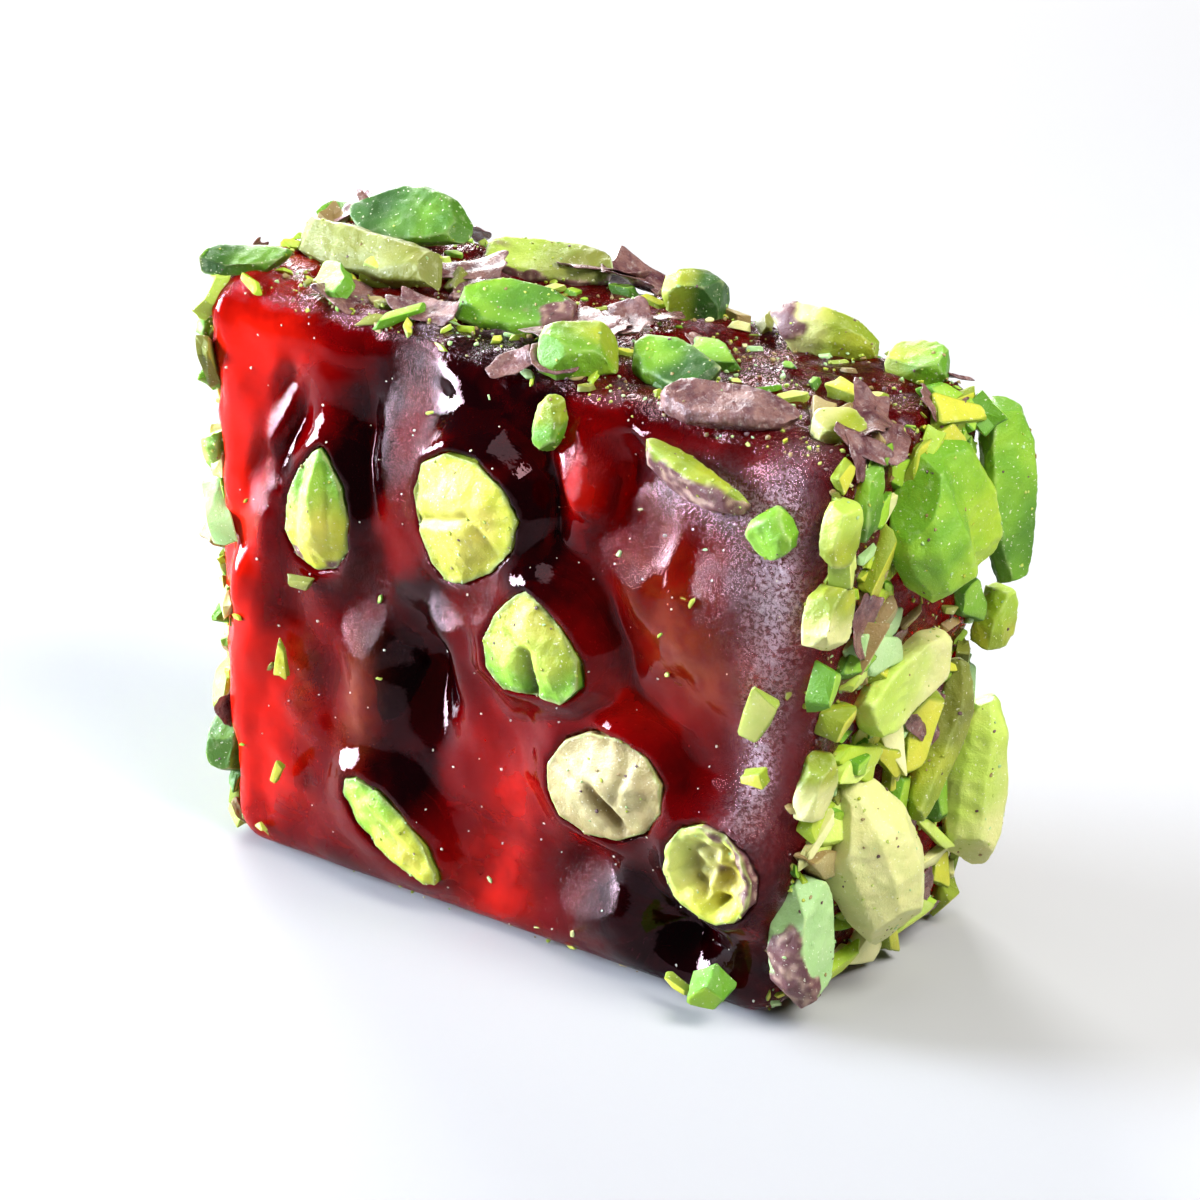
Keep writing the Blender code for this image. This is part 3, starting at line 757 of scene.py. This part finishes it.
def nut_piece(name, node, dress, seed):
    """A chopped piece over its CAD node: crisp cuts with knife marks, and a wrinkled outer skin."""
    obj, points, normals = even_mesh(name, node, NUT_VOXEL, 1)
    cut, depth = cut_shares(node, points)
    points, cut = facet(points, cut, random.Random(seed), 7)
    tint, skin = tint_of(dress, points, normals, cut, depth, seed)
    broad = noise_field(points, 3.0, seed) * 0.22
    ragged = -np.abs(noise_field(points, 0.9, seed + 7)) * 0.10
    wrinkled = noise_field(points, 0.7, seed + 8) * 0.05
    marks = noise_field(points, 0.45, seed + 9) * 0.02
    height = broad + np.where(cut > 0.5, marks + 0.15 * ragged, ragged + wrinkled) + 0.08 * skin
    # Painted highlight: convex edges, off the skin, are painted paler.
    edges = edge_share(obj.data, points, normals) * (0.55 + 0.45 * noise_field(points, 0.7, seed + 6)) * (1 - skin)
    tint = mix(tint, EDGE_HIGHLIGHT_TINT, 0.8 * np.clip(edges, 0, 1))
    return finish_nut(obj, points + normals * height[:, None], tint, cut)


def crease_depth(across, up, crease):
    """How deep one crease is at each place of a cut."""
    x0, z0, x1, z1, width, depth = crease
    run = np.array((x1 - x0, z1 - z0))
    share = np.clip(((across - x0) * run[0] + (up - z0) * run[1]) / (run @ run), 0, 1)
    gap = np.hypot(across - x0 - share * run[0], up - z0 - share * run[1])
    return depth * np.exp(-((gap / width) ** 2)) * np.sin(math.pi * (0.15 + 0.7 * share))


def kernel_piece(name, node, look, facing, seed):
    """A kernel that the knife cut through: its cut bulges, is creased, and has a thin skin at its rim."""
    obj, points, normals = even_mesh(name, node, KERNEL_VOXEL, 2)
    ring, out = kernel_seat(node, facing)
    on_cut = step(points[:, 1] * facing, out - 0.35, out - 0.05)
    spots = points[:, (0, 2)]
    depth = np.maximum(-outside_by(ring, spots), 0)
    across, up = (spots - ring.mean(axis=0)).T
    furrow = sum((crease_depth(across, up, crease) for crease in look.creases), np.zeros(len(points)))
    inner = depth.max()
    rough = noise_field(points, 1.5, seed) * 0.16 + noise_field(points, 0.6, seed + 1) * 0.07
    crater = look.hollow * step(depth, 0.5, 1.6) * (1 + 0.8 * noise_field(points, 0.9, seed + 6))
    height = look.bulge * step(depth, 0, 0.9 * inner) - furrow - crater + rough * (1 + look.hollow)
    side = noise_field(points, 1.1, seed + 3) * 0.15 * (1 - on_cut)
    tint, _ = tint_of(look.dress, points, normals, on_cut, depth, seed)
    # Painted shade in the creases and crater of the cut.
    shade = step(furrow + 0.35 * crater, 0.12, 0.7)[:, None] * on_cut[:, None]
    tint = tint * (1 - shade * (1 - np.array(CREASE_SHADE)))
    rim = step(0.30 - depth + 0.2 * noise_field(points, 0.5, seed + 4), 0, 0.2) * on_cut
    tint = mix(tint, RIM_TINT, 0.75 * rim)
    moved = points + normals * (side - 0.1)[:, None]
    moved[:, 1] += facing * height * on_cut
    return finish_nut(obj, moved, tint, on_cut)


def make_nuts(material, skin):
    made = []
    plain = [Dress(*pair) for pair in itertools.product((GREEN, BRIGHT, YELLOW, PALE, OLIVE), repeat=2)]
    for seed, node in enumerate(sorted(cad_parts)):
        if node == "jelly":
            continue
        luck = random.Random(node)
        dress = DRESSES.get(node) or luck.choice(plain)
        name = f"{node}_look"
        if "kernel" in node:
            look = CUTS.get(node) or Cut(dress, 0.6, ((-2, luck.uniform(-1, 1), 2, luck.uniform(-1, 1), 0.4, 0.5),))
            obj = kernel_piece(name, node, look, -1 if node.startswith("front") else 1, seed)
        else:
            obj = nut_piece(name, node, dress, seed)
        obj.data.materials.append(skin if node == SKIN_NODE else material)
        place_piece(obj, "kernel" if "kernel" in node else "nut", node)
        made.append(obj)
    return made


# ---------------------------------------------------------------- small bits, crumbs and papery skins

# A small chopped bit: the side it is on and its place there, its size, its turn and tilt, its looks.
Bit = namedtuple("Bit", "side u v length width thick turn tilt looks")
BITS = (
    Bit("top", -15.8, -4.8, 4.3, 2.4, 1.2, -50, 40, BRIGHT),
    Bit("top", -14.4, -2.2, 2.6, 1.8, 1.6, 10, 10, YELLOW),
    Bit("top", 8.4, 0.0, 5.0, 1.8, 1.1, -10, 15, GREEN),
    Bit("top", 17.6, 0.5, 3.0, 1.6, 1.0, 5, 10, YELLOW),
    Bit("right", -6.6, 19.4, 2.8, 1.8, 1.5, 20, 10, YELLOW),
    Bit("right", -8.2, 22.4, 3.1, 1.8, 1.5, 60, 0, BRIGHT),
    Bit("right", -4.2, 15.8, 2.4, 1.6, 1.5, 0, 10, BRIGHT),
    Bit("right", -7.4, 29.4, 2.6, 1.8, 1.3, 90, 10, PALE),
    Bit("front", 17.2, 2.4, 2.8, 2.4, 1.8, 40, 20, BRIGHT),
    Bit("front", 19.0, 20.4, 3.6, 2.6, 0.8, 70, 20, PALE),
    Bit("front", -15.6, 13.8, 2.6, 1.0, 0.6, 100, 20, YELLOW),
    Bit("front", -15.5, 6.5, 1.6, 0.8, 0.5, 70, 10, YELLOW),
    Bit("front", -14.2, 19.2, 2.4, 1.0, 0.5, 10, 20, OLIVE),
    Bit("front", 19.3, 16.4, 2.0, 1.4, 0.9, 30, 10, YELLOW),
    Bit("front", 14.6, 1.8, 2.4, 0.8, 0.5, -20, 10, YELLOW),
)
SKIN_NODE = "top_nut_11"
BIT_LOOKS = (GREEN, BRIGHT, LEAF, LIME, YELLOW, YELLOW, PALE, LIGHT, IVORY, MINT, OLIVE, CREAM)
SIDES = {"top": (0, 0, 1), "right": (1, 0, 0), "left": (-1, 0, 0), "base": (0, 0, -1)}

# How many bits and crumbs lie on each side, and the range of their lengths.
Strew = namedtuple("Strew", "side count shortest longest")
CHIP_STREWS = (
    Strew("top", 44, 1.4, 3.6),
    Strew("right", 110, 2.2, 6.0),
    Strew("left", 110, 2.2, 6.0),
    Strew("base", 30, 1.6, 3.6),
)
SPLINTER_STREWS = (
    Strew("top", 170, 0.5, 1.5),
    Strew("right", 190, 0.5, 1.6),
    Strew("left", 170, 0.5, 1.6),
    Strew("base", 60, 0.5, 1.4),
    Strew("front", 26, 0.4, 0.9),
    Strew("back", 26, 0.4, 0.9),
)
CRUMB_STREWS = (
    Strew("top", 1100, 0.15, 0.42),
    Strew("right", 900, 0.15, 0.42),
    Strew("left", 700, 0.15, 0.42),
    Strew("base", 200, 0.15, 0.35),
    Strew("front", 168, 0.10, 0.24),
    Strew("back", 120, 0.10, 0.24),
)
SKIN_STREWS = (Strew("top", 30, 2.4, 6.0), Strew("right", 12, 1.8, 4.0), Strew("left", 14, 1.8, 4.5))


def side_frame(side, u, v):
    """The point of a side at (u, v), with the side's own across and up directions."""
    if side == "top":
        return (u, v, HEIGHT), (1, 0, 0), (0, 1, 0)
    if side == "front":
        return (u, -half_depth(v) - 1, v), (1, 0, 0), (0, 0, 1)
    return (middle(v) + half_width(v), u, v), (0, 1, 0), (0, 0, 1)


def shard_mesh(luck, divisions):
    """A chopped shard in a box of side 1: a flat uneven polygon with bevelled edges, as points and faces."""
    bm = bmesh.new()
    count = luck.choice((4, 5, 5, 6))
    start = luck.uniform(0, math.pi)
    angles = [start + 2 * math.pi * (k + luck.uniform(-0.35, 0.35)) / count for k in range(count)]
    slope = (luck.uniform(-0.9, 0.9), luck.uniform(-0.7, 0.7))
    for height in (-0.5, 0.5):
        shrink = 1 if height < 0 else luck.uniform(0.7, 1.0)
        for angle in angles:
            reach = 0.55 * shrink * luck.uniform(0.8, 1.1)
            x, y = reach * math.cos(angle), reach * math.sin(angle)
            tilt = 1 + (slope[0] * x + slope[1] * y) if height > 0 else 1
            bm.verts.new((x, y, height * tilt))
    bmesh.ops.convex_hull(bm, input=bm.verts)
    bmesh.ops.bevel(bm, geom=bm.edges, offset=0.035, segments=1, affect="EDGES")
    bmesh.ops.triangulate(bm, faces=bm.faces)
    if divisions:
        bmesh.ops.subdivide_edges(bm, edges=bm.edges, cuts=divisions, use_grid_fill=True)
        bmesh.ops.triangulate(bm, faces=bm.faces)
    bm.normal_update()
    points = np.array([v.co[:] for v in bm.verts])
    normals = np.array([v.normal[:] for v in bm.verts])
    faces = np.array([[v.index for v in f.verts] for f in bm.faces])
    bm.free()
    rough = noise_field(points, 0.45, luck.random() * 9) * 0.07 + noise_field(points, 0.16, luck.random() * 9) * 0.03
    return points + normals * rough[:, None], faces, normals


def spots_on_jelly(jelly, strew, seed, taken=None):
    """Evenly strewn places on one side of the jelly, with their outward directions."""
    mesh = jelly.data
    count = len(mesh.polygons)
    centres, normals, areas = np.empty(count * 3), np.empty(count * 3), np.empty(count)
    mesh.polygons.foreach_get("center", centres)
    mesh.polygons.foreach_get("normal", normals)
    mesh.polygons.foreach_get("area", areas)
    centres, normals = centres.reshape(-1, 3) / MM, normals.reshape(-1, 3)
    x, y, z = centres.T
    depth = half_depth(z)
    if strew.side in SIDES:
        beside = half_width(z) - np.abs(x - middle(z))
        inset = {"top": HEIGHT - z, "base": z}.get(strew.side, beside)
        here = (normals @ np.array(SIDES[strew.side], dtype=float) > 0.55) & (abs(y) < depth - 0.6) & (inset < 2.5)
    else:
        facing = -1 if strew.side == "front" else 1
        here = (normals[:, 1] * facing > 0.6) & (y * facing > depth - 2)
    chance = np.random.default_rng(seed)
    chosen = chance.choice(np.flatnonzero(here), strew.count * 6, p=areas[here] / areas[here].sum())
    spots = []
    for index in chosen:
        if len(spots) == strew.count:
            break
        length = between(strew.shortest, strew.longest, chance.random() ** 1.6)
        place = centres[index] + chance.normal(0, 0.1, 3)
        if taken is not None:
            near = taken.find_nearest(Vector(place) * MM)[3] / MM
            if near < 0.12 * length:
                continue
        spots.append((place, normals[index], length))
    return spots


def standing(outward, turn, tilt):
    """Axes for a bit: its thickness along the outward direction, turned on it and tilted."""
    outward = Vector(outward)
    base = outward.to_track_quat("Z", "Y").to_matrix()
    own = Euler((tilt, 0, 0)).to_matrix()
    return np.array(base @ Matrix.Rotation(turn, 3, "Z") @ own)


def joined(name, slot, shapes, parts, material):
    """One piece of many bits: each part is a shape, its size, axes, place and looks."""
    points, faces, tints, cuts = [], [], [], []
    total = 0
    for index, size, axes, place, looks in parts:
        shape, triangles, normals = shapes[index]
        points.append((shape * size) @ axes.T + place)
        faces.append(triangles + total)
        total += len(shape)
        cut = step(np.abs(normals[:, 2]), 0.5, 0.9)
        tints.append(mix(looks.outside, mix(looks.cut, looks.heart, np.abs(shape[:, 0])), cut))
        cuts.append(cut)
    mesh = bpy.data.meshes.new(name)
    mesh.from_pydata(np.concatenate(points) * MM, [], np.concatenate(faces).tolist())
    obj = link(bpy.data.objects.new(name, mesh))
    finish_nut(obj, np.concatenate(points), np.concatenate(tints), np.concatenate(cuts))
    mesh.set_sharp_from_angle(angle=SHARP_ANGLE)
    mesh.materials.append(material)
    return place_piece(obj, slot)


def nut_tree():
    """All the nodes but the jelly, for finding what lies near."""
    corners, faces = [], []
    for name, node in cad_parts.items():
        if name != "jelly":
            start = len(corners)
            corners += [v.co.copy() for v in node.data.vertices]
            faces += [[start + i for i in polygon.vertices] for polygon in node.data.polygons]
    return BVHTree.FromPolygons(corners, faces)


def make_bits(jelly, material):
    luck = random.Random(3)
    shapes = [shard_mesh(luck, 1) for _ in range(16)]
    tree = nut_tree()
    parts = []
    for bit in BITS:
        place, across, up = side_frame(bit.side, bit.u, bit.v)
        outward = Vector(across).cross(Vector(up))
        frame_axes = Matrix((across, up, outward)).transposed()
        own = Euler((math.radians(bit.tilt), 0, math.radians(bit.turn))).to_matrix()
        size = np.array((bit.length, bit.width, bit.thick))
        axes = np.array(frame_axes @ own)
        place = np.array(place) + np.array(outward) * 0.35 * bit.thick
        parts.append((luck.randrange(16), size, axes, place, bit.looks))
    for seed, strew in enumerate(CHIP_STREWS):
        for place, outward, length in spots_on_jelly(jelly, strew, seed, tree):
            size = length * np.array((1, luck.uniform(0.28, 0.62), luck.uniform(0.14, 0.30)))
            axes = standing(outward, luck.uniform(0, 6.3), luck.uniform(-0.5, 0.5))
            place = place + outward * size[2] * luck.uniform(0.1, 0.5)
            place[2] = max(place[2], 0.35 * length) if strew.side != "base" else 0.5 * length
            parts.append((luck.randrange(16), size, axes, place, luck.choice(BIT_LOOKS)))
    joined("nut_bits", "nut", shapes, parts, material)


def make_splinters(jelly, material):
    luck = random.Random(4)
    shapes = [shard_mesh(luck, 0) for _ in range(16)]
    parts = []
    for seed, strew in enumerate(SPLINTER_STREWS, 20):
        for place, outward, length in spots_on_jelly(jelly, strew, seed):
            size = length * np.array((1, luck.uniform(0.25, 0.7), luck.uniform(0.12, 0.4)))
            axes = standing(outward, luck.uniform(0, 6.3), luck.uniform(-0.6, 0.6))
            place = place + outward * size[2] * 0.3
            place[2] = max(place[2], 0.6 * length)
            parts.append((luck.randrange(16), size, axes, place, luck.choice(BIT_LOOKS)))
    joined("nut_splinters", "nut", shapes, parts, material)


def crumb_shapes(luck):
    shapes = []
    for _ in range(10):
        bm = bmesh.new()
        bmesh.ops.create_icosphere(bm, subdivisions=1, radius=0.5)
        for vert in bm.verts:
            vert.co *= luck.uniform(0.65, 1.15)
        bm.normal_update()
        points = np.array([v.co[:] for v in bm.verts])
        normals = np.array([v.normal[:] for v in bm.verts])
        shapes.append((points, np.array([[v.index for v in f.verts] for f in bm.faces]), normals))
        bm.free()
    return shapes


def make_crumbs(jelly, nuts, material):
    luck = random.Random(5)
    shapes = crumb_shapes(luck)
    parts = []
    dusty = (PALE, CREAM, YELLOW, MINT, PURPLE)
    white = Looks((0.62, 0.56, 0.46), (0.74, 0.70, 0.60), (0.80, 0.76, 0.66))
    for seed, strew in enumerate(CRUMB_STREWS, 40):
        for place, outward, length in spots_on_jelly(jelly, strew, seed):
            size = length * np.array((1, luck.uniform(0.6, 1), luck.uniform(0.5, 0.9)))
            axes = standing(outward, luck.uniform(0, 6.3), 0)
            place = place + outward * 0.2 * length
            place[2] = max(place[2], 0.5 * length)
            looks = white if strew.side in ("front", "back") else luck.choice(dusty)
            parts.append((luck.randrange(10), size, axes, place, looks))
    for nut in nuts:
        mesh = nut.data
        for _ in range(round(len(mesh.vertices) / 130)):
            vert = mesh.vertices[luck.randrange(len(mesh.vertices))]
            length = luck.uniform(0.12, 0.34)
            if vert.co.z < 0.3 * MM:
                continue
            axes = standing(vert.normal, luck.uniform(0, 6.3), 0)
            size = length * np.array((1, luck.uniform(0.6, 1), 0.6))
            parts.append((luck.randrange(10), size, axes, np.array(vert.co) / MM, luck.choice(dusty)))
    joined("starch_crumbs", "nut", shapes, parts, material)


def skin_material():
    """Papery kernel skin: thin, purple-brown to tan, veined and a little glossy."""
    n = Nodes("papery_skin")
    tone = n.span(n.noise(1.3, 4, 0.65), 0.3, 0.7)
    colour = n.blend(tone, (0.075, 0.018, 0.028), (0.26, 0.13, 0.11))
    veins = n.span(n.noise(0.35, 5, 0.7, stretch=(1, 1, 0.4)), 0.55, 0.7)
    colour = n.blend(n.math("MULTIPLY", veins, 0.6), colour, (0.50, 0.42, 0.40))
    n.set(Base_Color=colour, Roughness=n.span(n.noise(0.5, 3), 0.3, 0.7, 0.16, 0.42), IOR=1.5)
    n.set(Normal=n.bump(n.noise(0.3, 4, 0.7), 0.12))
    return n.material


def skin_flake(luck, points_across=9, points_along=7):
    """A curled, ragged flake in a square of side 1: points and faces."""
    curl, twist = luck.uniform(-0.5, 0.7), luck.uniform(-0.4, 0.4)
    shift = Vector((luck.uniform(0, 50), 0, 0))
    rows = []
    for j in range(points_along):
        for i in range(points_across):
            x, y = i / (points_across - 1) - 0.5, j / (points_along - 1) - 0.5
            edge = max(abs(x), abs(y)) * 2
            ragged = 1 + edge * 0.45 * noise.noise(Vector((x * 4, y * 4, 0)) + shift)
            ruck = 0.12 * noise.noise(Vector((x * 3, y * 3, 2)) + shift)
            rows.append((x * ragged, y * ragged * (1 - 0.5 * abs(x)), curl * x * x + twist * x * y + ruck))
    faces = []
    for j in range(points_along - 1):
        for i in range(points_across - 1):
            a = j * points_across + i
            faces.append((a, a + 1, a + points_across + 1, a + points_across))
    return np.array(rows), faces


def make_skins(jelly, material):
    luck = random.Random(6)
    bm = bmesh.new()
    for seed, strew in enumerate(SKIN_STREWS, 60):
        for place, outward, length in spots_on_jelly(jelly, strew, seed):
            rows, faces = skin_flake(luck)
            size = length * np.array((1, luck.uniform(0.45, 0.8), 0.8))
            axes = standing(outward, luck.uniform(0, 6.3), luck.uniform(-0.25, 0.25))
            spots = (rows * size) @ axes.T + place + outward * luck.uniform(0.25, 0.8)
            verts = [bm.verts.new(spot) for spot in spots]
            for face in faces:
                bm.faces.new([verts[i] for i in face])
    obj = mesh_object("papery_skins", bm)
    solid = obj.modifiers.new("thick", "SOLIDIFY")
    solid.thickness = 0.10 * MM
    solid.offset = 0
    round_off = obj.modifiers.new("round", "SUBSURF")
    round_off.levels = round_off.render_levels = 1
    apply_modifiers(obj)
    obj.data.shade_smooth()
    obj.data.materials.append(material)
    return place_piece(obj, "nut")


# ---------------------------------------------------------------- floor, lights and camera


def make_floor():
    bpy.ops.mesh.primitive_grid_add(x_subdivisions=4, y_subdivisions=4, size=6.0)
    floor = bpy.context.object
    floor.name = "floor"
    n = Nodes("floor")
    n.set(Base_Color=(0.40, 0.40, 0.41), Roughness=n.span(n.noise(60, 2), 0.2, 0.8, 0.85, 0.95))
    n.set(Specular_IOR_Level=0.1)
    floor.data.materials.append(n.material)


def make_light(name, azimuth, elevation, distance, size, power, colour=(1, 1, 1), spread=180):
    """A soft square lamp that faces the slice. The angles say where it stands, as for the camera."""
    lamp = bpy.data.lights.new(name, "AREA")
    lamp.shape = "RECTANGLE"
    lamp.size, lamp.size_y = size
    lamp.energy = power
    lamp.color = colour
    lamp.spread = math.radians(spread)
    obj = link(bpy.data.objects.new(name, lamp))
    a, e = math.radians(azimuth), math.radians(elevation)
    back = Vector((math.sin(a) * math.cos(e), -math.cos(a) * math.cos(e), math.sin(e)))
    obj.location = Vector(LOOK_AT) * MM + back * distance
    obj.rotation_euler = back.to_track_quat("Z", "Y").to_euler()


def make_lights():
    world = bpy.data.worlds.new("studio")
    world.use_nodes = True
    bpy.context.scene.world = world
    world.node_tree.nodes["Background"].inputs["Color"].default_value = (0.93, 0.96, 1.0, 1)
    world.node_tree.nodes["Background"].inputs["Strength"].default_value = 0.10
    make_light("key_right", 84, 50, 0.45, (0.22, 0.22), 3.1, (1.0, 0.98, 0.95))
    make_light("side_left", -67, 10, 0.30, (0.18, 0.11), 0.52, (0.78, 0.86, 1.0), 48)
    make_light("top", 10, 80, 0.45, (0.26, 0.16), 0.45)
    make_light("behind", 232, 16, 0.40, (0.16, 0.16), 3.0)


def make_camera():
    camera = bpy.data.cameras.new("camera")
    obj = link(bpy.data.objects.new("camera", camera))
    a, e, r = (math.radians(angle) for angle in (AZIMUTH, ELEVATION, ROLL))
    back = Vector((math.sin(a) * math.cos(e), -math.cos(a) * math.cos(e), math.sin(e)))
    right = Vector((math.cos(a), math.sin(a), 0))
    up = back.cross(right)
    axes = (right * math.cos(r) + up * math.sin(r), up * math.cos(r) - right * math.sin(r), back)
    obj.matrix_world = Matrix.Translation((Vector(LOOK_AT) + back * DISTANCE) * MM) @ (
        Matrix(axes).transposed().to_4x4()
    )
    camera.sensor_width = SENSOR
    camera.lens = SENSOR * DISTANCE / VIEW_WIDTH
    camera.clip_start = 0.01
    bpy.context.scene.camera = obj


def main():
    make_camera()
    make_floor()
    make_lights()
    jelly = make_jelly()
    material = nut_material()
    skin = skin_material()
    nuts = make_nuts(material, skin)
    make_bits(jelly, material)
    make_splinters(jelly, material)
    make_crumbs(jelly, nuts, material)
    make_skins(jelly, skin)
    bpy.context.scene.view_settings.view_transform = "Standard"


main()
